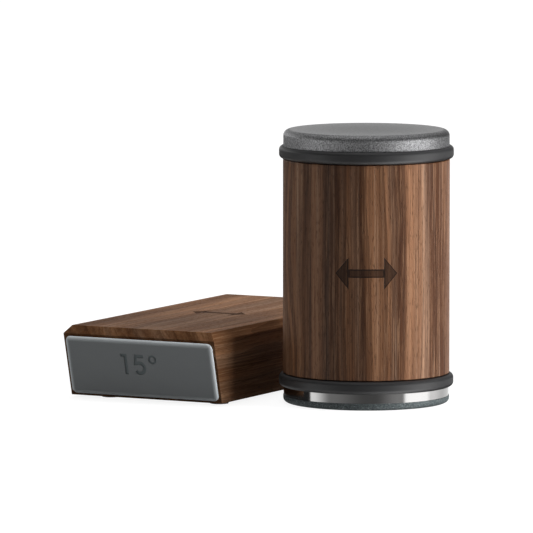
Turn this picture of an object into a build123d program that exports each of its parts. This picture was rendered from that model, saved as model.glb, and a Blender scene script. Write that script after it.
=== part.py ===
from build123d import *
import math
import os

os.makedirs("parts", exist_ok=True)

# A rolling knife sharpener: the roller stands on its diamond disc, beside the magnetic angle guide.
# Lengths are in millimetres. The origin is the centre of the roller's lower face on the table. +Z runs
# up the roller's axle, and +Y runs along the guide, from its steep end to its flat end.

# Roller, seen from outside
grip_diameter = 57.0
grip_length = 73.3
rolling_diameter = 59.7
ring_height = 4.25
ring_thickness = 3.35
ring_section_radius = 2.6
running_gap = 0.25
diamond_plate_diameter = 56.8
diamond_plate_height = 2.4
diamond_plate_round = 1.55
carrier_diameter = 56.5
carrier_height = 3.25
honing_disc_diameter = 56.8
honing_disc_height = 5.5
honing_disc_round = 2.1

# Fits and cuts
seat_gap = 0.02
journal_gap = 0.04
thread_gap = 0.08
cut_past = 1.0

# Axle, and the nuts that clamp the hubs on its stepped ends
axle_diameter = 10.0
axle_end_diameter = 8.0
nut_across_flats = 13.0
nut_height = 4.0
nut_setback = 0.3
nut_room = 1.0

# Hubs, and the threaded collars that carry the two discs, with their threads left plain
hub_reach = 3.0
hub_wall = 2.3
hub_side_gap = 0.6
collar_wall = 3.5
collar_end_gap = 0.7

# Bushes in the core tube that lines the grip
bush_wall = 3.0
bush_length = 12.0
bush_stand = 0.6

# Guide
guide_width = 58.6
guide_length = 117.8
guide_height = 25.3
guide_from_roller = 7.35
guide_ahead_of_roller = 41.0
guide_chamfer_across = 2.3
guide_chamfer_down = 2.7
steep_end_degrees = 15.0
flat_end_degrees = 20.0

# Pads that the blade lies against, and the block magnets behind them
pad_thickness = 1.0
pad_margin = 0.85
pad_corner_round = 1.9
pad_face_chamfer = 0.5
magnet_count = 3
magnet_width = 12.0
magnet_height = 10.0
magnet_thickness = 5.0
magnet_gap = 0.1
magnet_spread_share = 0.87

# Feet
foot_diameter = 6.4
foot_height = 0.75
foot_from_end = 6.7
foot_from_far_side = 11.9
foot_from_near_side = 4.6

# Flats that stand in for the curve of a ring's crown, an odd number, and for a disc's rounded edge
ring_flat_count = 3
edge_flat_count = 2

# Heights up the roller
lower_face = diamond_plate_height + carrier_height
grip_foot = lower_face + ring_height + running_gap
grip_head = grip_foot + grip_length
upper_face = grip_head + running_gap + ring_height

# Heights in from a disc's mating face, the same at both ends
grip_end = ring_height + running_gap
hub_inner_face = grip_end + hub_reach
hub_recess_depth = nut_setback + nut_height
collar_height = hub_recess_depth - collar_end_gap
bush_outer_face = hub_inner_face + running_gap
core_tube_end = bush_outer_face + bush_stand

# Radii that grow from the nut outwards
nut_corner_radius = nut_across_flats / math.sqrt(3)
collar_inner_radius = nut_corner_radius + nut_room
collar_outer_radius = collar_inner_radius + collar_wall
hub_boss_radius = collar_outer_radius + thread_gap + hub_wall
core_tube_radius = hub_boss_radius + hub_side_gap
bush_bore_radius = axle_diameter / 2 + journal_gap
core_bore_radius = bush_bore_radius + bush_wall + seat_gap
hub_rim_radius = rolling_diameter / 2 - ring_thickness

# Guide block on its feet
block_drop = guide_height - foot_height - guide_chamfer_down
guide_near_x = -rolling_diameter / 2 - guide_from_roller
guide_far_x = guide_near_x - guide_width
guide_middle_x = (guide_near_x + guide_far_x) / 2
steep_end_y = -guide_ahead_of_roller
flat_end_y = steep_end_y + guide_length


def turned(*points):
    """A solid turned about Z from the corners of a half section, each a radius and a height."""
    outline = Polyline(*points, close=True)
    return revolve(Plane.XZ * make_face(outline.edges()), Axis.Z)


def rounded(radius, height, reach, flats, start, end):
    """Corners along a curve of the given reach about a point of a half section, from one angle in
    degrees to another."""
    angles = [math.radians(start + (end - start) * step / flats) for step in range(flats + 1)]
    return [(radius + reach * math.cos(angle), height + reach * math.sin(angle)) for angle in angles]


def at_lower_end(piece):
    """A piece drawn inwards from a disc's mating face, put at the roller's lower end."""
    return Pos(0, 0, lower_face) * piece


def at_upper_end(piece):
    """The same piece turned over, at the roller's upper end."""
    return Pos(0, 0, upper_face) * Rot(180, 0, 0) * piece


# Grip


def grip_barrel():
    """The wooden sleeve held in the hand."""
    profile = Circle(grip_diameter / 2) - Circle(core_tube_radius + seat_gap)
    return Pos(0, 0, grip_foot) * extrude(profile, grip_length)


def core_tube():
    """The metal liner that the bushes are pressed into."""
    foot = lower_face + core_tube_end
    head = upper_face - core_tube_end
    profile = Circle(core_tube_radius) - Circle(core_bore_radius)
    return Pos(0, 0, foot) * extrude(profile, head - foot)


def bush():
    """A plain bush: it turns on the axle, and stands just proud of the core tube to run against the hub."""
    profile = Circle(bush_bore_radius + bush_wall) - Circle(bush_bore_radius)
    return Pos(0, 0, bush_outer_face) * extrude(profile, bush_length)


# Wheelset


def axle():
    """The steel axle, stepped down at each end for a hub and its nut."""
    middle = (lower_face + upper_face) / 2
    body = axle_diameter / 2
    end = axle_end_diameter / 2
    tip = upper_face - nut_setback - middle
    step = upper_face - hub_inner_face - middle
    half = [(0, tip), (end, tip), (end, step), (body, step)]
    other_half = [(radius, -height) for radius, height in reversed(half)]
    return Pos(0, 0, middle) * turned(*half, *other_half)


def hub():
    """A turned wheel hub: a rim for the ring, a recess for the nut and the disc's collar, and a boss
    that reaches into the grip and bears on the axle's step."""
    bore = axle_end_diameter / 2 + seat_gap
    recess = collar_outer_radius + thread_gap
    return turned(
        (bore, hub_recess_depth),
        (recess, hub_recess_depth),
        (recess, 0),
        (hub_rim_radius, 0),
        (hub_rim_radius, ring_height),
        (hub_boss_radius, ring_height),
        (hub_boss_radius, hub_inner_face),
        (bore, hub_inner_face),
    )


def hub_nut():
    """The low nut that clamps the hub against the axle's step."""
    profile = RegularPolygon(nut_corner_radius, 6) - Circle(axle_end_diameter / 2 + seat_gap)
    return Pos(0, 0, nut_setback) * extrude(profile, nut_height)


def roll_ring():
    """The rubber ring that rolls on the table: round outside, and flat where it meets disc and rim. The
    middle flat of its crown lies on the rolling diameter."""
    half = ring_height / 2
    lean = math.degrees(math.asin(half / ring_section_radius))
    middle_reach = ring_section_radius * math.cos(math.radians(lean / ring_flat_count))
    centre = rolling_diameter / 2 - middle_reach
    seat = hub_rim_radius + seat_gap
    crown = rounded(centre, half, ring_section_radius, ring_flat_count, -lean, lean)
    return turned((seat, 0), *crown, (seat, ring_height))


# Discs


def collar():
    """The half section of a disc's threaded collar, inwards from the mating face to the axis."""
    return [
        (collar_outer_radius, 0),
        (collar_outer_radius, collar_height),
        (collar_inner_radius, collar_height),
        (collar_inner_radius, 0),
        (0, 0),
    ]


def diamond_disc_carrier():
    """The polished steel carrier of the diamond plate, with its collar."""
    rim = carrier_diameter / 2
    return turned((0, -carrier_height), (rim, -carrier_height), (rim, 0), *collar())


def diamond_plate():
    """The grinding plate under the carrier, with a rounded working edge."""
    rim = diamond_plate_diameter / 2
    corner = diamond_plate_round
    edge = rounded(rim - corner, corner, corner, edge_flat_count, -90, 0)
    return turned((0, 0), *edge, (rim, diamond_plate_height), (0, diamond_plate_height))


def honing_disc():
    """The honing disc at the other end: a flat working face, a rounded rim and the same collar."""
    rim = honing_disc_diameter / 2
    corner = honing_disc_round
    face = -honing_disc_height
    edge = rounded(rim - corner, face + corner, corner, edge_flat_count, -90, 0)
    return turned((0, face), *edge, (rim, 0), *collar())


# Guide


def end_slope(side):
    """The lean of an end face from upright, in radians. Side -1 is the steep end and +1 the flat end."""
    return math.radians(steep_end_degrees if side < 0 else flat_end_degrees)


def end_edge_y(side):
    """Where an end face meets the top chamfer."""
    return steep_end_y if side < 0 else flat_end_y


def end_foot_y(side):
    """Where an end face meets the underside."""
    return end_edge_y(side) - side * block_drop * math.tan(end_slope(side))


def end_plane(side):
    """The plane of an end face, centred on it, with x across the guide and z pointing out."""
    slope = end_slope(side)
    centre = (guide_middle_x, (end_edge_y(side) + end_foot_y(side)) / 2, foot_height + block_drop / 2)
    return Plane(origin=centre, x_dir=(1, 0, 0), z_dir=(0, side * math.cos(slope), -math.sin(slope)))


def magnet_places():
    """Where the magnets sit across an end face."""
    return GridLocations(guide_width * magnet_spread_share / magnet_count, 0, magnet_count, 1)


def guide_block():
    """The wooden block: both ends lean out at their sharpening angles, the top is chamfered all round,
    and each end has pockets for its magnets."""
    side_view = Polyline(
        (steep_end_y, foot_height + block_drop),
        (end_foot_y(-1), foot_height),
        (end_foot_y(1), foot_height),
        (flat_end_y, foot_height + block_drop),
        close=True,
    )
    far_side = Plane(origin=(guide_far_x, 0, 0), x_dir=(0, 1, 0), z_dir=(1, 0, 0))
    body = extrude(far_side * make_face(side_view.edges()), guide_width)
    centre = Pos(guide_middle_x, (steep_end_y + flat_end_y) / 2, 0)
    low = centre * Pos(0, 0, foot_height + block_drop) * Rectangle(guide_width, guide_length)
    high = centre * Pos(0, 0, guide_height) * Rectangle(
        guide_width - 2 * guide_chamfer_across, guide_length - 2 * guide_chamfer_across
    )
    block = body + loft([low.face(), high.face()], ruled=True)
    pocket = Box(
        magnet_width + 2 * magnet_gap,
        magnet_height + 2 * magnet_gap,
        magnet_thickness + cut_past,
        align=(Align.CENTER, Align.CENTER, Align.MIN),
    )
    for side in (-1, 1):
        for place in magnet_places():
            block -= end_plane(side) * place * Pos(0, 0, -magnet_thickness) * pocket
    return block


def pad(side):
    """A silicone pad over the magnets, with rounded corners and a softened front edge."""
    height = block_drop / math.cos(end_slope(side))
    outline = RectangleRounded(guide_width - 2 * pad_margin, height - 2 * pad_margin, pad_corner_round)
    plate = extrude(outline, pad_thickness)
    front_edges = plate.faces().sort_by(Axis.Z)[-1].edges()
    return end_plane(side) * chamfer(front_edges, pad_face_chamfer)


def magnets(side):
    """The row of block magnets behind a pad."""
    magnet = Box(magnet_width, magnet_height, magnet_thickness, align=(Align.CENTER, Align.CENTER, Align.MAX))
    return Compound(children=[end_plane(side) * place * magnet for place in magnet_places()])


def foot(x, side):
    """A thin round rubber foot stuck under the block, near one of its ends."""
    y = end_foot_y(side) - side * foot_from_end
    return Pos(x, y, 0) * extrude(Circle(foot_diameter / 2), foot_height)


pieces = {
    "grip_barrel": grip_barrel(),
    "core_tube": core_tube(),
    "axle": axle(),
    "diamond_disc_carrier": at_lower_end(diamond_disc_carrier()),
    "diamond_plate": diamond_plate(),
    "honing_disc": at_upper_end(honing_disc()),
    "guide_block": guide_block(),
    "steep_pad": pad(-1),
    "flat_pad": pad(1),
    "steep_pad_magnets": magnets(-1),
    "flat_pad_magnets": magnets(1),
}

for end, put in (("lower", at_lower_end), ("upper", at_upper_end)):
    pieces[end + "_bush"] = put(bush())
    pieces[end + "_hub"] = put(hub())
    pieces[end + "_hub_nut"] = put(hub_nut())
    pieces[end + "_roll_ring"] = put(roll_ring())

foot_far_x = guide_far_x + foot_from_far_side
foot_near_x = guide_near_x - foot_from_near_side
for end, side in (("steep_end", -1), ("flat_end", 1)):
    pieces[end + "_far_foot"] = foot(foot_far_x, side)
    pieces[end + "_near_foot"] = foot(foot_near_x, side)

for name, piece in pieces.items():
    export_step(piece, "parts/" + name + ".step")
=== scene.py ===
import math

import bmesh
import bpy
from mathutils import Matrix, Vector
from mathutils.geometry import delaunay_2d_cdt


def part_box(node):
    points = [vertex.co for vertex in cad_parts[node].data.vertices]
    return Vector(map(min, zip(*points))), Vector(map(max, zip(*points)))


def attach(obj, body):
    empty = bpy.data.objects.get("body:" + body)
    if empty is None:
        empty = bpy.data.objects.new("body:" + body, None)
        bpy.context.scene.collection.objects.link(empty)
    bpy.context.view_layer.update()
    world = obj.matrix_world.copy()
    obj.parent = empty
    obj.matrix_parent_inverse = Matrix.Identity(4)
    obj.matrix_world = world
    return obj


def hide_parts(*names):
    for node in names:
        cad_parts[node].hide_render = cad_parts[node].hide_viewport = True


# A rolling knife sharpener: a walnut roller between rubber rings, and a walnut guide block with soft
# pads at its ends. Lengths are in metres, in the frame of the model: +Z up the roller's axle, +Y along
# the guide from its steep end to its flat end.

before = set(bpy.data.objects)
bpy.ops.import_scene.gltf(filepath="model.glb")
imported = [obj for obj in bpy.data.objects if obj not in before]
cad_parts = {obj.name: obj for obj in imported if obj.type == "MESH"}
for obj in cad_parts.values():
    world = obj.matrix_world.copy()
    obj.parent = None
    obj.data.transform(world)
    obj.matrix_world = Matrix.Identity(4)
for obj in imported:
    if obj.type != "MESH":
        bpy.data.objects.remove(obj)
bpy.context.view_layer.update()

# Places that the frame gives
barrel_low, barrel_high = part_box("grip_barrel")
plate_low, plate_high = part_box("diamond_plate")
disc_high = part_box("honing_disc")[1]
block_low, block_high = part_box("guide_block")
lower_ring_low, lower_ring_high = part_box("lower_roll_ring")
upper_ring_low, upper_ring_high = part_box("upper_roll_ring")
barrel_radius = barrel_high.x
rolling_radius = lower_ring_high.x
carrier_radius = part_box("diamond_disc_carrier")[1].x
hub_rim_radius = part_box("lower_hub")[1].x
lower_face = lower_ring_low.z
upper_face = upper_ring_high.z

# Directions of the frame, and the scale of the finishes
east_line = Vector((1.0, 0.0, 0.0))
north_line = Vector((0.0, 1.0, 0.0))
up_line = Vector((0.0, 0.0, 1.0))
in_mm = 1000.0

# Where the eye stands: the roller faces it, and the marks on the wood are turned to it
eye = Vector((1.1381, -2.2501, 0.3048))
eye_pitch_degrees = 5.853
eye_bearing = Vector((-0.4634, 0.8862, 0.0))
lens_mm = 500.8
film_mm = 36.0
front_line = Vector((eye.x, eye.y, 0.0)).normalized()
right_line = Vector((-front_line.y, front_line.x, 0.0))

# Floor and lights
white = (1.0, 1.0, 1.0, 1.0)
floor_shade = (130, 130, 130)
floor_reach = 30.0
floor_drop = 0.00002
floor_glow = 0.88
top_light_from = Vector((-0.2, 0.15, 1.0))
top_light_strength = 1.05
top_light_spread_degrees = 35.0
softbox_distance = 1.3
even_light = 0.026

# Walls that the bright metal, the rubber and the oil mirror. Each says where it starts and how soft that
# edge is, where it ends and how soft that edge is, its low and high edges and how soft they are, and how
# bright it is. Bearings are in degrees to the right of the eye and heights in degrees above the level. An
# edge past a bearing of 180 or a height of 90 can't be seen: the wall goes on there.
left_corner = -84.5
right_corner = 98.3
room_walls = {
    "left wall, by its corner": (left_corner, 0.6, -66.0, 16.0, -90.0, 8.0, 9.0, 1.15),
    "left wall, fading": (left_corner, 0.6, -25.0, 25.0, -90.0, 8.0, 9.0, 0.16),
    "left of the back, upper strip": (-165.0, 18.0, -104.0, 12.0, 5.0, 16.0, 9.0, 1.7),
    "left of the back, lower strip": (-165.0, 18.0, -104.0, 12.0, -40.0, -22.0, 9.0, 0.7),
    "wall behind the eye": (left_corner, 0.6, right_corner, 1.5, -90.0, 10.0, 9.0, 0.08),
    "low glow in front": (left_corner, 20.0, 20.0, 25.0, -110.0, -20.0, 9.0, 0.2),
    "low glow on the right": (16.0, 20.0, right_corner, 12.0, -110.0, -20.0, 9.0, 1.45),
    "right wall, dim part": (30.0, 18.0, right_corner, 3.0, -90.0, 10.0, 9.0, 0.26),
    "right wall, bright part": (55.6, 3.5, right_corner, 3.0, -90.0, 10.0, 9.0, 1.7),
    "low strip past the right corner": (right_corner, 1.5, 120.0, 14.0, -9.0, -3.0, 2.0, 0.5),
    "low strip along the back": (right_corner, 1.5, 178.0, 2.0, -9.0, -3.0, 2.0, 0.9),
    "back wall, right of its middle": (162.0, 8.0, 200.0, 5.0, -2.0, 18.0, 9.0, 0.7),
    "back wall, left of its middle": (-200.0, 5.0, -160.0, 15.0, -2.0, 18.0, 9.0, 0.7),
    "high back wall, on the right": (110.0, 25.0, 200.0, 5.0, 24.0, 78.0, 12.0, 0.26),
    "high back wall, on the left": (-200.0, 5.0, -110.0, 25.0, 24.0, 78.0, 12.0, 0.14),
    "ceiling": (-200.0, 5.0, 200.0, 5.0, 52.0, 110.0, 15.0, 0.46),
}

# Turned pieces
turns = 192
crease_degrees = 32.0
straight_half_degrees = 85.0
ease_steps = 4
fine_ease = 0.00012
edge_ease = 0.0003
ring_tread = 0.0015
ring_crown_drop = 0.0011
ring_crown_steps = 12
seat_clearance = 0.00002
honing_edge_round = 0.0021
honing_edge_steps = 12
grit_edge_round = 0.00155
grit_edge_steps = 10
collar_height = 0.0036
collar_wall = 0.0035
collar_radius = 0.0120056

# Burnt marks, in millimetres and in shares of their own size
mark_half_length = 10.4
mark_half_width = 5.4
mark_head_share = 0.42
mark_shaft_share = 0.26
mark_rim = 0.35
mark_softness = 0.08
mark_starts_under = 0.5
mark_whole_under = 0.2
off_the_mark = 50.0

# Threads of the collars and hubs, and what the collars cover
thread_pitch = 0.0009
thread_depth = 0.00042
thread_gap = 0.00008
thread_flank_slope = 1.25
rows_per_turn_of_thread = 8
hub_wall = 0.0023
hub_recess_depth = 0.0043
axle_bore_radius = 0.00402
axle_end_radius = 0.004
axle_body_radius = 0.005
axle_chamfer = 0.0004
centre_hole_radius = 0.0013
centre_hole_depth = 0.0011
nut_sides = 6
nut_steps_per_side = 16
nut_flat_share = 0.97
nut_chamfer_degrees = 30.0
nut_crease_degrees = 12.0

# Guide block and pads
chamfer_across = 0.0023
chamfer_down = 0.0027
wood_edge_ease = 0.00016
wood_edge_steps = 3
steep_end_degrees = 15.0
flat_end_degrees = 20.0
pad_grey = (153, 157, 159)
# The numerals' floors take a darker grey: painted shade in the recesses.
numeral_floor_painted_shade = (124, 133, 135)
pad_thickness = 0.001
pad_margin = 0.00085
pad_corner_round = 0.0019
pad_corner_steps = 8
pad_pillow = 0.00175
pad_pillow_drop = 0.0008
pad_pillow_steps = 8
pad_back_ease = 0.0002
same_point = 1e-7

# Numerals moulded into the pads, and how far each stands to the right of its pad's middle
numeral_depth = 0.00038
numeral_lip = 0.0001
lip_middle_share = 0.3
numeral_height = 0.0074
numeral_foot = -0.0021
numeral_stroke = 0.0012
numeral_round_steps = 40
degree_outer = 0.0016
degree_inner = 0.00092
one_at = -0.005
five_at = -0.0029
two_at = -0.0072
zero_at = -0.0024
degree_at = 0.0033
least_mitre = 0.5
touching = 1e-9


def tone(red, green, blue):
    """A colour as a screen shows it, 0 to 255, turned into the light that a finish takes."""
    parts = [part / 255 for part in (red, green, blue)]
    return tuple(c / 12.92 if c <= 0.04045 else ((c + 0.055) / 1.055) ** 2.4 for c in parts) + (1.0,)


def shaded(shade, share):
    """The tone of a shade that is made darker or paler by a share."""
    return tone(*(part * share for part in shade))


# Colours of the walnut, before its oil
dark_band = tone(79, 47, 27)
pale_band = tone(150, 107, 78)
ash_wood = tone(140, 115, 98)
pale_streak = tone(190, 158, 134)
dark_streak = tone(54, 32, 21)
late_wood = tone(50, 28, 17)
open_vessel = tone(46, 27, 17)
dark_fibre = tone(54, 32, 20)
pale_fibre = tone(180, 140, 109)
open_pore = tone(34, 20, 12)
burnt_wood = tone(48, 31, 22)
burnt_rim = tone(24, 15, 11)


# Shader maths


class Wire:
    """What comes out of a node. Sums written on it add Math nodes to its finish."""

    def __init__(self, finish, socket):
        self.finish = finish
        self.socket = socket

    def maths(self, operation, *terms):
        return self.finish.node("ShaderNodeMath", {"operation": operation}, dict(enumerate(terms)))

    def __add__(self, other):
        return self.maths("ADD", self, other)

    def __radd__(self, other):
        return self.maths("ADD", other, self)

    def __sub__(self, other):
        return self.maths("SUBTRACT", self, other)

    def __rsub__(self, other):
        return self.maths("SUBTRACT", other, self)

    def __mul__(self, other):
        return self.maths("MULTIPLY", self, other)

    def __rmul__(self, other):
        return self.maths("MULTIPLY", other, self)

    def __truediv__(self, other):
        return self.maths("DIVIDE", self, other)

    def __pow__(self, other):
        return self.maths("POWER", self, other)

    def __abs__(self):
        return self.maths("ABSOLUTE", self)

    def root(self):
        return self.maths("SQRT", self)

    def fraction(self):
        return self.maths("FRACT", self)

    def least(self, other):
        return self.maths("MINIMUM", self, other)

    def most(self, other):
        return self.maths("MAXIMUM", self, other)

    def along(self, direction):
        """How far a place lies along a direction."""
        settings = {"operation": "DOT_PRODUCT"}
        return self.finish.node("ShaderNodeVectorMath", settings, {0: self, 1: direction}, 1)

    def off_axle(self):
        """How far a place lies from the roller's axle."""
        east = self.along(east_line)
        north = self.along(north_line)
        return (east * east + north * north).root()

    def bearing(self, front):
        """The angle in degrees to the right of the front, from how far a place lies to the right."""
        return self.maths("ARCTAN2", self, front) * (180 / math.pi)

    def lift(self):
        """The angle in degrees above the level, from its sine."""
        return self.maths("ARCSINE", self) * (180 / math.pi)

    def rise(self, start, end):
        """0 below start and 1 above end, with a smooth step between."""
        settings = {"interpolation_type": "SMOOTHSTEP", "clamp": True}
        return self.finish.node("ShaderNodeMapRange", settings, {0: self, 1: start, 2: end})


class Finish:
    """The nodes of a material, or of the studio's surroundings, in the making."""

    def __init__(self, owner):
        self.owner = owner
        self.owner.use_nodes = True
        self.tree = self.owner.node_tree
        self.tree.nodes.clear()

    def node(self, kind, settings, sockets, output=0):
        """Adds a node: first its settings, then the values or links of its sockets."""
        made = self.tree.nodes.new(kind)
        for name, value in settings.items():
            setattr(made, name, value)
        for name, value in sockets.items():
            if isinstance(value, Wire):
                self.tree.links.new(value.socket, made.inputs[name])
            else:
                made.inputs[name].default_value = value
        return Wire(self, made.outputs[output]) if made.outputs else made

    def place(self):
        """The place on the piece, in millimetres."""
        coordinates = self.node("ShaderNodeTexCoord", {}, {}, "Object")
        scale = (in_mm, in_mm, in_mm)
        return self.node("ShaderNodeVectorMath", {"operation": "MULTIPLY"}, {0: coordinates, 1: scale})

    def facing(self):
        """The way that the surface faces."""
        return self.node("ShaderNodeNewGeometry", {}, {}, "Normal")

    def point(self, x, y, z):
        """A place from its three parts."""
        return self.node("ShaderNodeCombineXYZ", {}, {0: x, 1: y, 2: z})

    def noise(self, place, size, detail=2.0, roughness=0.5):
        """Cloudy noise from 0 to 1 with blotches of that size."""
        sockets = {"Vector": place, "Scale": 1 / size, "Detail": detail, "Roughness": roughness}
        return self.node("ShaderNodeTexNoise", {}, sockets)

    def cells(self, place, size):
        """0 at the middle of each grain, rising to its border."""
        return self.node("ShaderNodeTexVoronoi", {}, {"Vector": place, "Scale": 1 / size})

    def blend(self, share, start, end):
        """A colour between two others."""
        return self.node("ShaderNodeMix", {"data_type": "RGBA"}, {0: share, 6: start, 7: end}, 2)

    def coated(self, colour, *coats):
        """A colour under coats, each with the share that it covers."""
        for share, coat in coats:
            colour = self.blend(share, colour, coat)
        return colour

    def tinted(self, colour, tint):
        """A colour seen through a tint."""
        settings = {"data_type": "RGBA", "blend_type": "MULTIPLY"}
        return self.node("ShaderNodeMix", settings, {0: 1.0, 6: colour, 7: tint}, 2)

    def relief(self, height, depth):
        """A bumped normal: height from 0 to 1 stands for that depth in metres."""
        return self.node("ShaderNodeBump", {}, {"Height": height, "Distance": depth})

    def made(self, **sockets):
        """Closes the finish with its surface, and returns the material."""
        named = {name.replace("_", " "): value for name, value in sockets.items()}
        shader = self.node("ShaderNodeBsdfPrincipled", {}, named)
        self.node("ShaderNodeOutputMaterial", {}, {"Surface": shader})
        return self.owner


def material(name):
    """A new material's finish, with no nodes yet."""
    return Finish(bpy.data.materials.new(name))


# Finishes


def burnt_arrows(across, up, shown):
    """How far outside a double-headed arrow a place lies, in millimetres, and below 0 inside it. shown is
    1 on the side of the wood that carries the arrow."""
    head = mark_half_length * mark_head_share
    shaft_half = mark_half_width * mark_shaft_share
    neck = mark_half_length - head
    run = abs(across)
    rise = abs(up)
    shaft = (rise - shaft_half).most(run - neck)
    heads = (rise - (mark_half_length - run) * (mark_half_width / head)).most(neck - run)
    return shaft.least(heads) + (1 - shown) * off_the_mark


def grip_mark(place):
    """The burnt arrow at the middle of the grip, which says that it rolls both ways."""
    up = place.along(up_line) - (barrel_low.z + barrel_high.z) / 2 * in_mm
    return burnt_arrows(place.along(right_line), up, place.along(front_line).rise(0.0, 1.0))


def guide_mark(place):
    """The same arrow on top of the guide, along the way that the roller runs at its pads."""
    middle = (block_low + block_high) / 2 * in_mm
    top = block_high.z * in_mm
    across = place.along(east_line) - middle.x
    beside = place.along(north_line) - middle.y
    shown = place.along(up_line).rise(top - mark_starts_under, top - mark_whole_under)
    return burnt_arrows(across, beside, shown)


def walnut(name, grain, layers, beside, offset, figure, oil, shine, mark):
    """Oiled walnut: year layers stacked one way, streaks, fibres and pores that run with the grain, slow
    drifts of colour, and rows of vessels in the end grain. figure says how strongly pale and dark wood
    part, from 0 to 1, oil is the tint that the oil gives, and shine how much it gleams. mark is a
    function that says how far a place lies outside a burnt mark."""
    finish = material(name)
    place = finish.place()
    run = place.along(grain)
    depth = place.along(layers) + offset
    side = place.along(beside)

    sway = finish.noise(finish.point(depth / 26, side / 34, run / 80), size=1.0, detail=1.0)
    wander = finish.noise(finish.point(depth / 3, side / 5, run / 45), size=1.0)
    bowed = (depth * depth + side * side * 0.3).root()
    ring = bowed + sway * 8.0 + wander * 0.9
    pace = finish.noise(finish.point(ring, 0.0, 0.0), size=8.0)
    year = (ring / 5.2 + pace * 2.6).fraction()
    late = year ** 2.6
    bands = finish.noise(finish.point(ring, run / 150, 4.0), size=6.0, detail=3.0, roughness=0.55)
    bands = bands.rise(0.38, 0.62)

    strayed = depth + wander * 0.7
    streaks = finish.noise(finish.point(strayed, side, run / 110), size=1.7, detail=5.0, roughness=0.62)
    ash = finish.noise(finish.point(ring, side / 9, run / 90), size=5.0, detail=1.0).rise(0.5, 0.68)
    fibres = finish.noise(finish.point(depth, side, run / 45), size=0.5, detail=3.0, roughness=0.6)
    pores = finish.noise(finish.point(depth, side, run / 8), size=0.3, detail=1.0).rise(0.56, 0.7)
    vessels = finish.noise(finish.point(ring, side / 6, run / 6), size=0.8, detail=3.0, roughness=0.6)
    vessels = vessels.rise(0.44, 0.62)
    end_grain = abs(finish.facing().along(grain)).rise(0.3, 0.9)
    long_grain = (1 - end_grain * 0.8) * (0.4 + 0.6 * figure)

    body = finish.coated(
        finish.blend(bands * figure + (1 - figure) * 0.4, dark_band, pale_band),
        (ash * (0.5 * figure), ash_wood),
        (streaks.rise(0.5, 0.78) * (0.75 * figure * long_grain), pale_streak),
        ((1 - streaks).rise(0.5, 0.78) * (0.6 * figure), dark_streak),
        (late * (0.25 + 0.3 * figure - end_grain * 0.05), late_wood),
        (vessels * end_grain * 0.4, open_vessel),
        (fibres.rise(0.5, 0.7) * (0.42 * long_grain), dark_fibre),
        ((1 - fibres).rise(0.5, 0.7) * (0.4 * long_grain), pale_fibre),
        (pores * 0.4 * long_grain, open_pore),
    )
    outside = mark(place)
    burnt = 1 - outside.rise(-mark_softness, mark_softness)
    rim = 1 - abs(outside + mark_rim / 2).rise(mark_rim * 0.3, mark_rim * 0.9)
    body = finish.coated(finish.tinted(body, oil), (burnt * 0.8, burnt_wood), (rim * 0.8, burnt_rim))
    rough = 0.45 - streaks * 0.08 + pores * 0.2 + burnt * 0.15
    normal = finish.relief(1 - pores * 0.6 - fibres * 0.3 - burnt * 1.2, depth=0.00006)
    return finish.made(Base_Color=body, Roughness=rough, Normal=normal, Specular_IOR_Level=shine)


def rubber(name, shade, grain_size, shine):
    """Black rubber with a satin skin and a faint mould texture."""
    finish = material(name)
    place = finish.place()
    skin = finish.noise(place, size=grain_size, detail=3.0)
    cloud = finish.noise(place, size=6.0)
    colour = finish.blend(cloud, shaded(shade, 0.9), shaded(shade, 1.1))
    rough = 0.44 + skin * 0.12
    normal = finish.relief(skin, depth=0.00002)
    return finish.made(Base_Color=colour, Roughness=rough, Normal=normal, Specular_IOR_Level=shine)


def blasted(name):
    """Steel blasted with fine grit: dull, with a sparkling grain."""
    finish = material(name)
    place = finish.place()
    grain = finish.noise(place, size=0.42, roughness=0.7)
    pits = finish.cells(place, size=0.5)
    colour = finish.blend(grain.rise(0.3, 0.7), tone(124, 124, 125), tone(210, 210, 212))
    rough = 0.42 + grain * 0.14
    normal = finish.relief(grain * 0.8 + pits * 0.4, depth=0.0001)
    return finish.made(Base_Color=colour, Metallic=1.0, Roughness=rough, Normal=normal)


def lapped(name):
    """The disc's working face: flat ground steel with hardly visible circles, and painted shade that darkens
    it towards the middle.
    """
    finish = material(name)
    place = finish.place()
    radius = place.off_axle()
    circles = finish.noise(finish.point(radius, 0.0, 0.0), size=0.35)
    broad = finish.noise(place, size=7.0)
    grain = finish.noise(place, size=0.8, detail=3.0, roughness=0.8)
    bright = broad * 0.35 + circles * 0.15 + grain.rise(0.35, 0.65) * 0.5
    middle = 1 - (radius / (disc_high.x * in_mm)) ** 2
    colour = finish.blend(bright, tone(130, 130, 131), tone(208, 208, 209))
    # Painted shade: the colour darkens towards the middle of the working face.
    colour = finish.coated(colour, (middle * 0.45, tone(70, 70, 71)))
    rough = 0.36 + broad * 0.1 + grain * 0.08
    normal = finish.relief(circles * 0.3 + grain * 0.7, depth=0.00002)
    return finish.made(Base_Color=colour, Metallic=0.7, Roughness=rough, Normal=normal)


def polished(name):
    """Steel turned bright on a lathe: it mirrors what stands round it, drawn out across the tool marks."""
    finish = material(name)
    place = finish.place()
    marks = finish.noise(finish.point(place.along(up_line), 0.0, 0.0), size=0.12)
    smear = finish.noise(place, size=9.0)
    return finish.made(
        Base_Color=finish.blend(smear, tone(172, 171, 170), tone(184, 183, 182)),
        Metallic=1.0,
        Roughness=0.08 + marks * 0.04 + smear * 0.02,
        Normal=finish.relief(marks, depth=0.000001),
        Anisotropic=0.5,
        Anisotropic_Rotation=0.25,
    )


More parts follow.
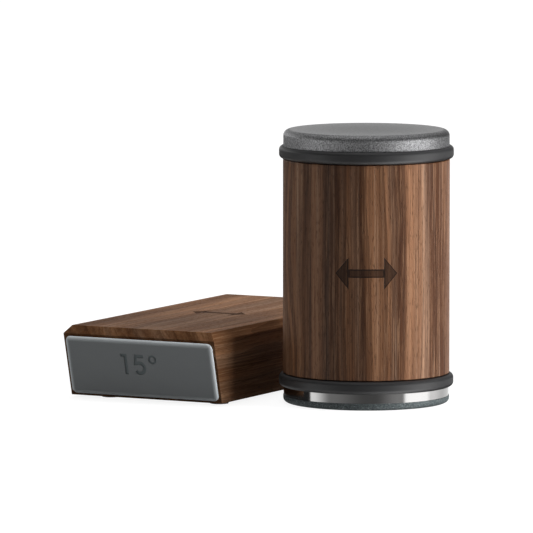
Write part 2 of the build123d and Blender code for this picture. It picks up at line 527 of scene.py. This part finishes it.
def grit(name):
    """Diamond grit held in dark nickel: even grains, with pale specks here and there that are painted
    sparkle, and smoother so that they also catch real light.
    """
    finish = material(name)
    place = finish.place()
    grains = finish.cells(place, size=0.42)
    clump = finish.noise(place, size=0.45, roughness=0.7)
    # Painted sparkle: pale specks, which are also smoother so that they catch real light.
    painted_glint = finish.noise(place, size=0.3, detail=0.0).rise(0.66, 0.76)
    colour = finish.blend(clump.rise(0.3, 0.7), tone(58, 66, 68), tone(114, 123, 124))
    colour = finish.coated(colour, (painted_glint * 0.6, tone(176, 184, 186)))
    rough = 0.55 - painted_glint * 0.25 + clump * 0.1
    normal = finish.relief(1 - grains + clump * 0.5, depth=0.0001)
    return finish.made(Base_Color=colour, Metallic=0.35, Roughness=rough, Normal=normal)


def silicone(name, side, shade):
    """Grey silicone, with a painted highlight: a pad's pillow edge is painted paler than its middle."""
    finish = material(name)
    place = finish.place()
    skin = finish.noise(place, size=0.4, detail=3.0)
    cloud = finish.noise(place, size=9.0)
    face = end_frame(side)
    right = face.col[0].xyz
    up = face.col[1].xyz
    across = abs(place.along(right) - face.translation.dot(right) * in_mm)
    upwards = abs(place.along(up) - face.translation.dot(up) * in_mm)
    width, height = pad_size(side)
    inwards = (width / 2 * in_mm - across).least(height / 2 * in_mm - upwards)
    # Painted highlight: this mask rises along the pad's pillow edge, where the light catches it.
    edge = 1 - inwards.rise(0.1, pad_pillow * in_mm)
    colour = finish.blend(cloud * 0.6 + skin * 0.25, shaded(shade, 0.96), tone(*shade))
    # The pillow edge is painted paler: a painted highlight, not the silicone's own colour.
    colour = finish.coated(colour, (edge * 0.95, shaded(shade, 1.62)))
    rough = 0.44 + skin * 0.1 + cloud * 0.05
    normal = finish.relief(skin, depth=0.000008)
    return finish.made(Base_Color=colour, Roughness=rough, Normal=normal)


def turned_metal(name, dark, light, roughness):
    """Machined metal, with the tool's circles: fine ones, and broader ones where its feed changed."""
    finish = material(name)
    place = finish.place()
    radius = place.off_axle()
    up = place.along(up_line)
    circles = finish.noise(finish.point(radius, up, 0.0), size=0.16)
    tracks = finish.noise(finish.point(radius, up, 3.0), size=0.9, detail=3.0, roughness=0.6)
    tracks = tracks.rise(0.36, 0.64)
    cloud = finish.noise(place, size=5.0)
    colour = finish.blend(circles * 0.25 + tracks * 0.5 + cloud * 0.25, tone(*dark), tone(*light))
    rough = roughness + circles * 0.08 + tracks * 0.08
    normal = finish.relief(circles * 0.4 + tracks * 0.6, depth=0.00002)
    return finish.made(Base_Color=colour, Metallic=1.0, Roughness=rough, Normal=normal)


def plated(name):
    """Nickel plating: bright, a little warm, with a faint orange-peel skin."""
    finish = material(name)
    place = finish.place()
    skin = finish.noise(place, size=0.7)
    cloud = finish.noise(place, size=4.0)
    colour = finish.blend(cloud, tone(176, 173, 166), tone(206, 203, 196))
    normal = finish.relief(skin, depth=0.000006)
    return finish.made(Base_Color=colour, Metallic=1.0, Roughness=0.16 + skin * 0.08, Normal=normal)


# Shapes


def piece(name, points, faces, finishes, body, stands_for, crease=crease_degrees):
    """A finished piece of the object: a smooth-shaded mesh that rides on its body. Each face says its
    corners and the number of its finish. Edges that turn by more than crease stay sharp."""
    mesh = bpy.data.meshes.new(name)
    mesh.from_pydata(points, [], [corners for corners, number in faces])
    for finish in finishes:
        mesh.materials.append(finish)
    for polygon, (corners, number) in zip(mesh.polygons, faces):
        polygon.material_index = number
    mesh.shade_smooth()
    mesh.set_sharp_from_angle(angle=math.radians(crease))
    made = bpy.data.objects.new(name, mesh)
    bpy.context.scene.collection.objects.link(made)
    level = made.modifiers.new("even shading", "WEIGHTED_NORMAL")
    level.keep_sharp = True
    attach(made, body)
    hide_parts(*stands_for)
    return made


def arc(x, y, reach, start, end, steps):
    """Points along an arc round a place, from one angle in degrees to another."""
    angles = [math.radians(start + (end - start) * step / steps) for step in range(steps + 1)]
    return [(x + reach * math.cos(angle), y + reach * math.sin(angle)) for angle in angles]


def faces_between(loops):
    """The corners of the faces that join each closed loop to the next."""
    made = []
    for first, second in zip(loops, loops[1:]):
        for number in range(len(first)):
            ahead = (number + 1) % len(first)
            made.append((first[number], first[ahead], second[ahead], second[number]))
    return made


def read_off(shape):
    """The points and faces of a finished shape, which is then let go."""
    shape.verts.index_update()
    points = [tuple(vert.co) for vert in shape.verts]
    faces = [(tuple(vert.index for vert in face.verts), face.material_index) for face in shape.faces]
    shape.free()
    return points, faces


def eased(corners, ease):
    """A half section with its corners rounded. A corner on the axis stays sharp."""
    made = []
    for number, corner in enumerate(corners):
        here = Vector(corner)
        back = (Vector(corners[number - 1]) - here).normalized()
        on = (Vector(corners[(number + 1) % len(corners)]) - here).normalized()
        half = back.angle(on) / 2
        if here.x <= 0 or half > math.radians(straight_half_degrees):
            made.append(tuple(here))
            continue
        centre = here + (back + on).normalized() * ease / math.sin(half)
        start = here + back * ease / math.tan(half) - centre
        end = here + on * ease / math.tan(half) - centre
        first = math.atan2(start.y, start.x)
        sweep = (math.atan2(end.y, end.x) - first + math.pi) % (2 * math.pi) - math.pi
        for step in range(ease_steps + 1):
            angle = first + sweep * step / ease_steps
            made.append((centre.x + ease * math.cos(angle), centre.y + ease * math.sin(angle)))
    return made


def thread(radius, low, high, way):
    """How far a screw thread shifts the wall at that radius, between two heights: way is -1 where it is
    cut into a shaft and 1 where it is cut into a bore."""

    def cut(reach, height, angle):
        if abs(reach - radius) > seat_clearance / 2 or not low < height < high:
            return 0.0
        turn = (height / thread_pitch - angle / (2 * math.pi)) % 1.0
        groove = min(1.0, thread_flank_slope * abs(2 * turn - 1))
        run_out = min(1.0, (height - low) / thread_pitch, (high - height) / thread_pitch)
        return way * thread_depth * groove * run_out

    return cut


def divided(section, radius):
    """A half section with rows for a thread along its wall at that radius."""
    made = []
    for number, (reach, height) in enumerate(section):
        made.append((reach, height))
        next_reach, next_height = section[(number + 1) % len(section)]
        on_wall = max(abs(reach - radius), abs(next_reach - radius)) < seat_clearance / 2
        steps = int(abs(next_height - height) / thread_pitch * rows_per_turn_of_thread) if on_wall else 0
        for step in range(1, steps):
            made.append((reach, height + (next_height - height) * step / steps))
    return made


def turned(name, section, finishes, body, stands_for, finish_of=None, cut=None):
    """A piece turned about the roller's axle from a closed half section of radii and heights, drawn so
    that it goes up the outside. finish_of says which finish a stretch of the section takes, and cut how
    far a thread shifts a point."""
    points = []
    starts = []
    for radius, height in section:
        starts.append(len(points))
        if radius <= 0:
            points.append((0.0, 0.0, height))
            continue
        for turn in range(turns):
            angle = 2 * math.pi * turn / turns
            reach = radius if cut is None else radius + cut(radius, height, angle)
            points.append((reach * math.cos(angle), reach * math.sin(angle), height))

    def point_at(row, turn):
        on_axis = section[row][0] <= 0
        return starts[row] if on_axis else starts[row] + turn % turns

    faces = []
    for row, (radius, height) in enumerate(section):
        ahead = (row + 1) % len(section)
        next_radius, next_height = section[ahead]
        if radius <= 0 and next_radius <= 0:
            continue
        number = 0 if finish_of is None else finish_of((radius + next_radius) / 2, (height + next_height) / 2)
        for turn in range(turns):
            corners = [point_at(row, turn), point_at(row, turn + 1)]
            corners += [point_at(ahead, turn + 1), point_at(ahead, turn)]
            faces.append((tuple(dict.fromkeys(corners)), number))
    return piece(name, points, faces, finishes, body, stands_for)


# Roller


def barrel():
    """The walnut sleeve, with its ends just eased."""
    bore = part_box("core_tube")[1].x + seat_clearance
    section = [
        (bore, barrel_low.z),
        (barrel_radius, barrel_low.z),
        (barrel_radius, barrel_high.z),
        (bore, barrel_high.z),
    ]
    return turned("walnut_grip", eased(section, edge_ease), [grip_wood], "grip", ["grip_barrel"])


def rolling_ring(end, low, high):
    """A rubber ring: a flat tread with round shoulders, between two flats."""
    shoulder = (high - low - ring_tread) / 2
    lean = 2 * math.degrees(math.atan(ring_crown_drop / shoulder))
    reach = shoulder / math.sin(math.radians(lean))
    seat = hub_rim_radius + seat_clearance
    crown = arc(rolling_radius - reach, low + shoulder, reach, -lean, 0, ring_crown_steps)
    crown += arc(rolling_radius - reach, high - shoulder, reach, 0, lean, ring_crown_steps)
    section = [(seat, low)] + crown + [(seat, high)]
    node = end + "_roll_ring"
    return turned(end + "_rubber_ring", section, [ring_black], "wheelset", [node])


def grit_plate():
    """The grinding plate under the carrier."""
    rim = plate_high.x
    rounding = grit_edge_round
    edge = arc(rim - rounding, plate_low.z + rounding, rounding, -90, 0, grit_edge_steps)
    section = [(0.0, plate_low.z)] + edge + [(rim, plate_high.z), (0.0, plate_high.z)]
    return turned("grit_plate", section, [grit_grey], "diamond_disc", ["diamond_plate"])


def collar(face, direction):
    """Corners of a disc's collar, from its outside at the mating face to the axis."""
    inner = collar_radius - collar_wall
    tip = face + direction * collar_height
    return [(collar_radius, face), (collar_radius, tip), (inner, tip), (inner, face), (0.0, face)]


def steel_carrier():
    """The polished rim that holds the grinding plate, with its collar."""
    low = plate_high.z
    section = [(0.0, low), (carrier_radius, low), (carrier_radius, lower_face)] + collar(lower_face, 1)
    return turned(
        "steel_carrier",
        divided(eased(section, fine_ease), collar_radius),
        [bright_steel],
        "diamond_disc",
        ["diamond_disc_carrier"],
        cut=thread(collar_radius, lower_face, lower_face + collar_height, -1),
    )


def top_disc():
    """The honing disc: blasted on its side, ground on its working face."""
    rim = disc_high.x
    working_radius = rim - honing_edge_round
    edge_middle = disc_high.z - honing_edge_round
    edge = arc(working_radius, edge_middle, honing_edge_round, 0, 90, honing_edge_steps)
    outwards = collar(upper_face, -1)[:-1][::-1]
    section = [(0.0, upper_face)] + eased(outwards, fine_ease) + [(rim, upper_face)]
    section += edge + [(0.0, disc_high.z)]

    def finish_of(radius, height):
        return 1 if height > disc_high.z - fine_ease and radius < working_radius else 0

    return turned(
        "top_disc",
        divided(section, collar_radius),
        [blasted_grey, lapped_grey],
        "top_disc",
        ["honing_disc"],
        finish_of,
        thread(collar_radius, upper_face - collar_height, upper_face, -1),
    )


def wheel_hub(end, face, direction):
    """A turned hub: a rim under the ring, a threaded recess for the disc's collar, and a boss that
    reaches into the grip. It is drawn inwards from its disc's mating face."""
    node = end + "_hub"
    low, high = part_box(node)
    recess = collar_radius + thread_gap
    boss = recess + hub_wall
    rim_height = lower_ring_high.z - lower_ring_low.z
    corners = [
        (high.x, 0.0),
        (high.x, rim_height),
        (boss, rim_height),
        (boss, high.z - low.z),
        (axle_bore_radius, high.z - low.z),
        (axle_bore_radius, hub_recess_depth),
        (recess, hub_recess_depth),
        (recess, 0.0),
    ]
    section = [(radius, face + direction * depth) for radius, depth in corners]
    if direction < 0:
        section.reverse()
    section = divided(eased(section, fine_ease), recess)
    thread_low, thread_high = sorted((face, face + direction * hub_recess_depth))
    cut = thread(recess, thread_low, thread_high, 1)
    return turned(end + "_turned_hub", section, [hub_metal], "wheelset", [node], cut=cut)


def steel_axle():
    """The axle, stepped and chamfered, with a lathe's centre hole in each end."""
    low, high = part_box("axle")
    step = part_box("upper_hub")[0].z
    middle = (low.z + high.z) / 2
    half = [
        (axle_body_radius, step),
        (axle_end_radius, step),
        (axle_end_radius, high.z - axle_chamfer),
        (axle_end_radius - axle_chamfer, high.z),
        (centre_hole_radius, high.z),
        (0.0, high.z - centre_hole_depth),
    ]
    other_half = [(radius, 2 * middle - height) for radius, height in reversed(half)]
    return turned("steel_axle", other_half + half, [axle_steel], "wheelset", ["axle"])


def hexagon_nut(end):
    """A low hexagon nut with its corners turned off at both faces."""
    node = end + "_hub_nut"
    low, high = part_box(node)
    flat_reach = min(high.x, high.y)
    face_radius = flat_reach * nut_flat_share
    half_side = math.pi / nut_sides
    first_corner = 0.0 if high.x > high.y else half_side

    def section(reach):
        down = (reach - face_radius) * math.tan(math.radians(nut_chamfer_degrees))
        return [
            (axle_bore_radius, low.z),
            (face_radius, low.z),
            (reach, low.z + down),
            (reach, high.z - down),
            (face_radius, high.z),
            (axle_bore_radius, high.z),
        ]

    count = nut_sides * nut_steps_per_side
    points = []
    for step in range(count):
        angle = 2 * math.pi * step / count
        reach = flat_reach / math.cos(angle % (2 * half_side) - half_side)
        turn = first_corner + angle
        points += [(radius * math.cos(turn), radius * math.sin(turn), z) for radius, z in section(reach)]
    rows = len(points) // count
    faces = []
    for step in range(count):
        here = step * rows
        ahead = (step + 1) % count * rows
        for row in range(rows):
            above = (row + 1) % rows
            faces.append(((here + row, ahead + row, ahead + above, here + above), 0))
    name = end + "_hexagon_nut"
    return piece(name, points, faces, [nut_steel], "wheelset", [node], nut_crease_degrees)


# Guide


def end_lean(side):
    """How far an end face leans out, in radians. Side -1 is the steep end and +1 the flat end."""
    return math.radians(steep_end_degrees if side < 0 else flat_end_degrees)


def end_edge(side):
    """Where an end face meets the chamfer."""
    return block_low.y if side < 0 else block_high.y


def end_foot(side):
    """Where an end face meets the underside."""
    drop = block_high.z - chamfer_down - block_low.z
    return end_edge(side) - side * drop * math.tan(end_lean(side))


def end_frame(side):
    """The frame of an end face: x to the right of someone who looks at it, y up the face, z outwards."""
    lean = end_lean(side)
    right = Vector((-side, 0.0, 0.0))
    out = Vector((0.0, side * math.cos(lean), -math.sin(lean)))
    up = out.cross(right)
    middle_height = (block_low.z + block_high.z - chamfer_down) / 2
    centre = Vector(((block_low.x + block_high.x) / 2, (end_edge(side) + end_foot(side)) / 2, middle_height))
    return Matrix.Translation(centre) @ Matrix((right, up, out)).transposed().to_4x4()


def wooden_block():
    """The guide block with its leaning ends, its chamfered top and every edge just eased."""
    shape = bmesh.new()
    shelf = block_high.z - chamfer_down
    rows = [
        (block_low.z, block_low.x, block_high.x, end_foot(-1), end_foot(1)),
        (shelf, block_low.x, block_high.x, block_low.y, block_high.y),
        (
            block_high.z,
            block_low.x + chamfer_across,
            block_high.x - chamfer_across,
            block_low.y + chamfer_across,
            block_high.y - chamfer_across,
        ),
    ]
    loops = []
    for height, west, east, south, north in rows:
        corners = ((west, south), (east, south), (east, north), (west, north))
        loops.append([shape.verts.new((x, y, height)) for x, y in corners])
    for corners in [loops[0][::-1], loops[-1]] + faces_between(loops):
        shape.faces.new(corners)
    edges = shape.edges[:]
    bmesh.ops.bevel(
        shape, geom=edges, offset=wood_edge_ease, segments=wood_edge_steps, profile=0.5, affect="EDGES"
    )
    points, faces = read_off(shape)
    return piece("walnut_block", points, faces, [guide_wood], "guide", ["guide_block"])


def round_outline(x, y, reach, stretch, clockwise):
    """A closed round outline, stretched upwards."""
    circle = arc(x, y, reach, 0, 360, numeral_round_steps)[:-1]
    made = [(px, y + (py - y) * stretch) for px, py in circle]
    return made[::-1] if clockwise else made


def numeral_one():
    """Outlines of a 1: a stem with a short flag, its right side at x 0."""
    stroke, top = numeral_stroke, numeral_height
    flag = -2.05 * stroke
    flag_foot = top - 0.9 * stroke
    return [[(-stroke, 0), (0, 0), (0, top), (flag, top), (flag, flag_foot), (-stroke, flag_foot)]]


def numeral_five():
    """Outlines of a 5: a bar, a leaning stem and an open bowl, its left side at x 0."""
    stroke, top = numeral_stroke, numeral_height
    bowl = 0.335 * top
    outer = arc(bowl, bowl, bowl, start=112, end=-142, steps=26)
    inner = arc(bowl, bowl, bowl - stroke, start=-142, end=128, steps=22)
    left = 0.13 * top
    right = 0.58 * top
    bar = [(left, top), (right, top), (right, top - stroke), (left + 0.85 * stroke, top - stroke)]
    stem_foot = (0.045 * top, 0.47 * top)
    return [(bar + outer + inner + [stem_foot])[::-1]]


def numeral_two():
    """Outlines of a 2: a hook, a straight slope and a foot, its left side at x 0."""
    stroke, top = numeral_stroke, numeral_height
    hook = 0.27 * top
    outer = arc(hook, top - hook, hook, start=175, end=-38, steps=20)
    inner = arc(hook, top - hook, hook - stroke, start=-38, end=175, steps=16)
    base = [(1.75 * stroke, stroke), (2 * hook, stroke), (2 * hook, 0), (-0.1 * stroke, 0)]
    return [(outer + base + inner)[::-1]]


def numeral_zero():
    """Outlines of a 0: an upright ring, its left side at x 0."""
    half = numeral_height / 2
    wide = 0.31 * numeral_height
    hollow = wide - numeral_stroke
    outer = round_outline(wide, half, wide, half / wide, False)
    return [outer, round_outline(wide, half, hollow, (half - numeral_stroke) / hollow, True)]


def degree_sign():
    """Outlines of a degree sign, its left side at x 0 and its top at the numerals' height."""
    x, y = degree_outer, numeral_height - degree_outer
    return [round_outline(x, y, degree_outer, 1.0, False), round_outline(x, y, degree_inner, 1.0, True)]


def line_of(*numerals):
    """Outlines of numerals in a line. Each is given as its drawing, and how far to the right it stands."""
    made = []
    for drawing, right in numerals:
        made += [[(x + right, y + numeral_foot) for x, y in outline] for outline in drawing()]
    return made


def pushed(outline, distance):
    """An outline moved outwards, to the right of its line of travel."""
    made = []
    for number, here in enumerate(outline):
        back = Vector(outline[number - 1])
        on = Vector(outline[(number + 1) % len(outline)])
        middle = Vector(here)
        before = (middle - back).normalized()
        after = (on - middle).normalized()
        square = Vector((after.y, -after.x))
        normal = (Vector((before.y, -before.x)) + square).normalized()
        made.append(tuple(middle + normal * distance / max(normal.dot(square), least_mitre)))
    return made


def inside(point, outlines):
    """Whether a point lies inside an odd number of outlines."""
    hits = 0
    x, y = point
    for outline in outlines:
        for (ax, ay), (bx, by) in zip(outline, outline[1:] + outline[:1]):
            if (ay > y) != (by > y) and x < ax + (y - ay) * (bx - ax) / (by - ay):
                hits += 1
    return hits % 2 == 1


def filled(outlines, keep):
    """Points and triangles that fill the outlines, where keep says so of a triangle's middle."""
    places = [Vector(point) for outline in outlines for point in outline]
    edges = []
    start = 0
    for outline in outlines:
        count = len(outline)
        edges += [(start + number, start + (number + 1) % count) for number in range(count)]
        start += count
    points, _, faces, _, _, _ = delaunay_2d_cdt(places, edges, [], 0, touching)
    kept = []
    for face in faces:
        middle = sum((points[corner] for corner in face), Vector((0.0, 0.0))) / len(face)
        if keep((middle.x, middle.y)):
            kept.append(tuple(face))
    return [tuple(point) for point in points], kept


def pad_size(side):
    """A pad's width, and its height up the leaning end face."""
    slope = (block_high.z - chamfer_down - block_low.z) / math.cos(end_lean(side))
    return block_high.x - block_low.x - 2 * pad_margin, slope - 2 * pad_margin


def pad_outline(side, inset):
    """A pad's outline, a rectangle with round corners, drawn in by inset and centred on 0."""
    width, height = pad_size(side)
    x = width / 2 - pad_corner_round
    y = height / 2 - pad_corner_round
    reach = pad_corner_round - inset
    made = []
    for quarter, (east, north) in enumerate(((1, 1), (-1, 1), (-1, -1), (1, -1))):
        start = 90 * quarter
        made += arc(east * x, north * y, reach, start, start + 90, pad_corner_steps)
    return made


def pillow_rows():
    """How far a pad's outline draws in, and how high it stands, from its back up to its flat face."""
    rows = [(pad_back_ease, 0.0), (0.0, pad_back_ease), (0.0, pad_thickness - pad_pillow_drop)]
    for step in range(1, pad_pillow_steps + 1):
        angle = math.radians(90 * step / pad_pillow_steps)
        inset = pad_pillow * (1 - math.cos(angle))
        rows.append((inset, pad_thickness - pad_pillow_drop * (1 - math.sin(angle))))
    return rows


def numeral_rows():
    """How far a numeral's outline moves out, and how high it stands, from its lip down to its floor."""
    lip_middle = numeral_lip * lip_middle_share
    return [
        (numeral_lip, pad_thickness),
        (lip_middle, pad_thickness - lip_middle),
        (0.0, pad_thickness - numeral_lip),
        (0.0, pad_thickness - numeral_depth),
    ]


def added(points, outline, height):
    """Adds an outline at a height to the points, and says which numbers its points have."""
    start = len(points)
    points.extend((x, y, height) for x, y in outline)
    return range(start, len(points))


def pad(side, name, node, numerals):
    """A moulded pad: a soft pillow edge, and numerals sunk into its face, whose floors are painted darker as
    shade.
    """
    face = silicone(name + " silicone", side, pad_grey)
    # Painted shade: the floors of the numerals get the darker grey.
    sunk = silicone(name + " silicone in the numerals", side, numeral_floor_painted_shade)
    points = []
    loops = [added(points, pad_outline(side, inset), height) for inset, height in pillow_rows()]
    faces = [(corners, 0) for corners in faces_between(loops) + [tuple(loops[0][::-1])]]

    lips = [pushed(outline, numeral_lip) for outline in numerals]
    border = pad_outline(side, pad_pillow)
    flat, triangles = filled([border] + lips, lambda middle: not inside(middle, lips))
    start = added(points, flat, pad_thickness).start
    faces += [(tuple(start + corner for corner in corners), 0) for corners in triangles]

    for outline in numerals:
        levels = [added(points, pushed(outline, out), height) for out, height in numeral_rows()]
        faces += [(corners, 0) for corners in faces_between(levels)]
    floors, triangles = filled(numerals, lambda middle: inside(middle, numerals))
    start = added(points, floors, pad_thickness - numeral_depth).start
    faces += [(tuple(start + corner for corner in corners), 1) for corners in triangles]

    shape = bmesh.new()
    verts = [shape.verts.new(end_frame(side) @ Vector(point)) for point in points]
    for corners, number in faces:
        made = shape.faces.new([verts[corner] for corner in corners])
        made.material_index = number
    bmesh.ops.remove_doubles(shape, verts=shape.verts[:], dist=same_point)
    points, faces = read_off(shape)
    return piece(name, points, faces, [face, sunk], "guide", [node])


def foot(node):
    """A thin round foot with a softened edge."""
    low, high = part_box(node)
    reach = (high.x - low.x) / 2
    centre = (low + high) / 2
    section = eased([(0.0, low.z), (reach, low.z), (reach, high.z), (0.0, high.z)], fine_ease)
    made = turned(node + "_pad", section, [foot_black], "guide", [node])
    for vert in made.data.vertices:
        vert.co.x += centre.x
        vert.co.y += centre.y
    return made


# Studio


def lamp(name, kind, place, brightness, **settings):
    """A lamp that lights the object from a place, and that mirrors and the eye don't see. Mirrors see
    the room's walls instead."""
    light = bpy.data.lights.new(name, kind)
    for setting, value in settings.items():
        setattr(light, setting, value)
    light.energy = brightness
    stand = bpy.data.objects.new(name, light)
    stand.location = place
    stand.rotation_euler = (-place).to_track_quat("-Z", "Y").to_euler()
    stand.visible_camera = False
    stand.visible_glossy = False
    bpy.context.scene.collection.objects.link(stand)


def softbox(name, bearing, spread, low, high, brightness):
    """An upright lamp round the object: its middle at a bearing in degrees to the right of the eye, its
    spread in degrees, its edges at heights in degrees as the roller sees them. A matt white card
    close before it would look as bright as brightness."""
    angle = math.radians(bearing)
    foot_height = softbox_distance * math.tan(math.radians(low))
    head_height = softbox_distance * math.tan(math.radians(high))
    place = (front_line * math.cos(angle) + right_line * math.sin(angle)) * softbox_distance
    place.z = (foot_height + head_height) / 2
    wide = 2 * softbox_distance * math.tan(math.radians(spread / 2))
    tall = head_height - foot_height
    watts = brightness * math.pi * wide * tall
    lamp(name, "AREA", place, watts, shape="RECTANGLE", size=wide, size_y=tall)


def floor():
    """A pale floor. What the eye sees of it is lifted to white, and its shadows stay."""
    finish = material("pale floor")
    path = "ShaderNodeLightPath"
    seen = finish.node(path, {}, {}, "Is Camera Ray")
    for ray in ("Is Glossy Ray", "Is Transmission Ray"):
        seen = seen.most(finish.node(path, {}, {}, ray))
    matt = finish.node("ShaderNodeBsdfDiffuse", {}, {"Color": tone(*floor_shade)})
    glow = finish.node("ShaderNodeEmission", {}, {"Color": white, "Strength": seen * floor_glow})
    both = finish.node("ShaderNodeAddShader", {}, {0: matt, 1: glow})
    finish.node("ShaderNodeOutputMaterial", {}, {"Surface": both})
    mesh = bpy.data.meshes.new("floor")
    corners = ((-1, -1), (1, -1), (1, 1), (-1, 1))
    points = [(x * floor_reach, y * floor_reach, -floor_drop) for x, y in corners]
    mesh.from_pydata(points, [], [(0, 1, 2, 3)])
    mesh.materials.append(finish.owner)
    made = bpy.data.objects.new("floor", mesh)
    bpy.context.scene.collection.objects.link(made)
    made.visible_glossy = False


def room():
    """Even light from all round, and the walls."""
    finish = Finish(bpy.data.worlds.new("studio"))
    way = finish.node("ShaderNodeTexCoord", {}, {}, "Generated")
    bearing = way.along(right_line).bearing(way.along(front_line))
    lift = way.along(up_line).lift()
    light = even_light
    for start, start_soft, end, end_soft, low, high, fade, level in room_walls.values():
        opens = bearing.rise(start - start_soft, start + start_soft)
        closes = bearing.rise(end - end_soft, end + end_soft)
        stands = lift.rise(low - fade, low + fade) - lift.rise(high - fade, high + fade)
        light = light + (opens - closes) * stands * level
    sky = finish.node("ShaderNodeBackground", {}, {"Color": white, "Strength": light})
    finish.node("ShaderNodeOutputWorld", {}, {"Surface": sky})
    bpy.context.scene.world = finish.owner


def camera():
    """The eye: far off and with a long lens, a little above the object."""
    view = bpy.data.cameras.new("eye")
    view.lens = lens_mm
    view.sensor_width = film_mm
    made = bpy.data.objects.new("eye", view)
    pitch = math.radians(eye_pitch_degrees)
    forward = eye_bearing.normalized() * math.cos(pitch) - up_line * math.sin(pitch)
    made.location = eye
    made.rotation_euler = forward.to_track_quat("-Z", "Y").to_euler()
    bpy.context.scene.collection.objects.link(made)
    bpy.context.scene.camera = made


grip_wood = walnut(
    "walnut grip",
    grain=up_line,
    layers=right_line,
    beside=front_line,
    offset=90.0,
    figure=1.0,
    oil=(1.04, 1.02, 0.99, 1.0),
    shine=0.26,
    mark=grip_mark,
)
guide_wood = walnut(
    "walnut guide",
    grain=north_line,
    layers=(0.8, 0.0, 0.6),
    beside=(-0.6, 0.0, 0.8),
    offset=148.0,
    figure=0.5,
    oil=(1.12, 1.17, 1.14, 1.0),
    shine=0.008,
    mark=guide_mark,
)
ring_black = rubber("ring rubber", shade=(40, 40, 41), grain_size=0.25, shine=0.85)
foot_black = rubber("foot rubber", shade=(30, 29, 28), grain_size=0.3, shine=0.5)
grit_grey = grit("diamond grit")
bright_steel = polished("polished steel")
blasted_grey = blasted("blasted steel")
lapped_grey = lapped("lapped steel")
hub_metal = turned_metal("hub aluminium", (158, 159, 161), (232, 233, 235), roughness=0.27)
axle_steel = turned_metal("axle steel", (160, 160, 162), (212, 212, 214), roughness=0.22)
nut_steel = turned_metal("nut steel", (162, 160, 154), (208, 205, 198), roughness=0.27)
liner_aluminium = turned_metal("liner aluminium", (160, 161, 163), (196, 197, 199), roughness=0.32)
bush_bronze = turned_metal("bush bronze", (150, 112, 66), (184, 142, 92), roughness=0.3)
magnet_nickel = plated("magnet nickel")

barrel()
rolling_ring("lower", lower_ring_low.z, lower_ring_high.z)
rolling_ring("upper", upper_ring_low.z, upper_ring_high.z)
grit_plate()
steel_carrier()
top_disc()
wheel_hub("lower", lower_face, 1)
wheel_hub("upper", upper_face, -1)
steel_axle()
hexagon_nut("lower")
hexagon_nut("upper")
wooden_block()
fifteen = line_of((numeral_one, one_at), (numeral_five, five_at), (degree_sign, degree_at))
pad(-1, "steep_pad_moulded", "steep_pad", fifteen)
twenty = line_of((numeral_two, two_at), (numeral_zero, zero_at), (degree_sign, degree_at))
pad(1, "flat_pad_moulded", "flat_pad", twenty)
for end in ("steep_end", "flat_end"):
    for place in ("far", "near"):
        foot(end + "_" + place + "_foot")

# Inner pieces, which keep their own solids
inner_finishes = {
    "core_tube": liner_aluminium,
    "lower_bush": bush_bronze,
    "upper_bush": bush_bronze,
    "steep_pad_magnets": magnet_nickel,
    "flat_pad_magnets": magnet_nickel,
}
for node, inner_finish in inner_finishes.items():
    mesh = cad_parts[node].data
    mesh.materials.clear()
    mesh.materials.append(inner_finish)

floor()
room()
softbox("right softbox", bearing=78, spread=40, low=3, high=35, brightness=12.8)
softbox("left softbox", bearing=-84, spread=50, low=3, high=50, brightness=0.36)
lamp("top light", "SUN", top_light_from, top_light_strength, angle=math.radians(top_light_spread_degrees))
camera()

view_settings = bpy.context.scene.view_settings
view_settings.view_transform = "Standard"
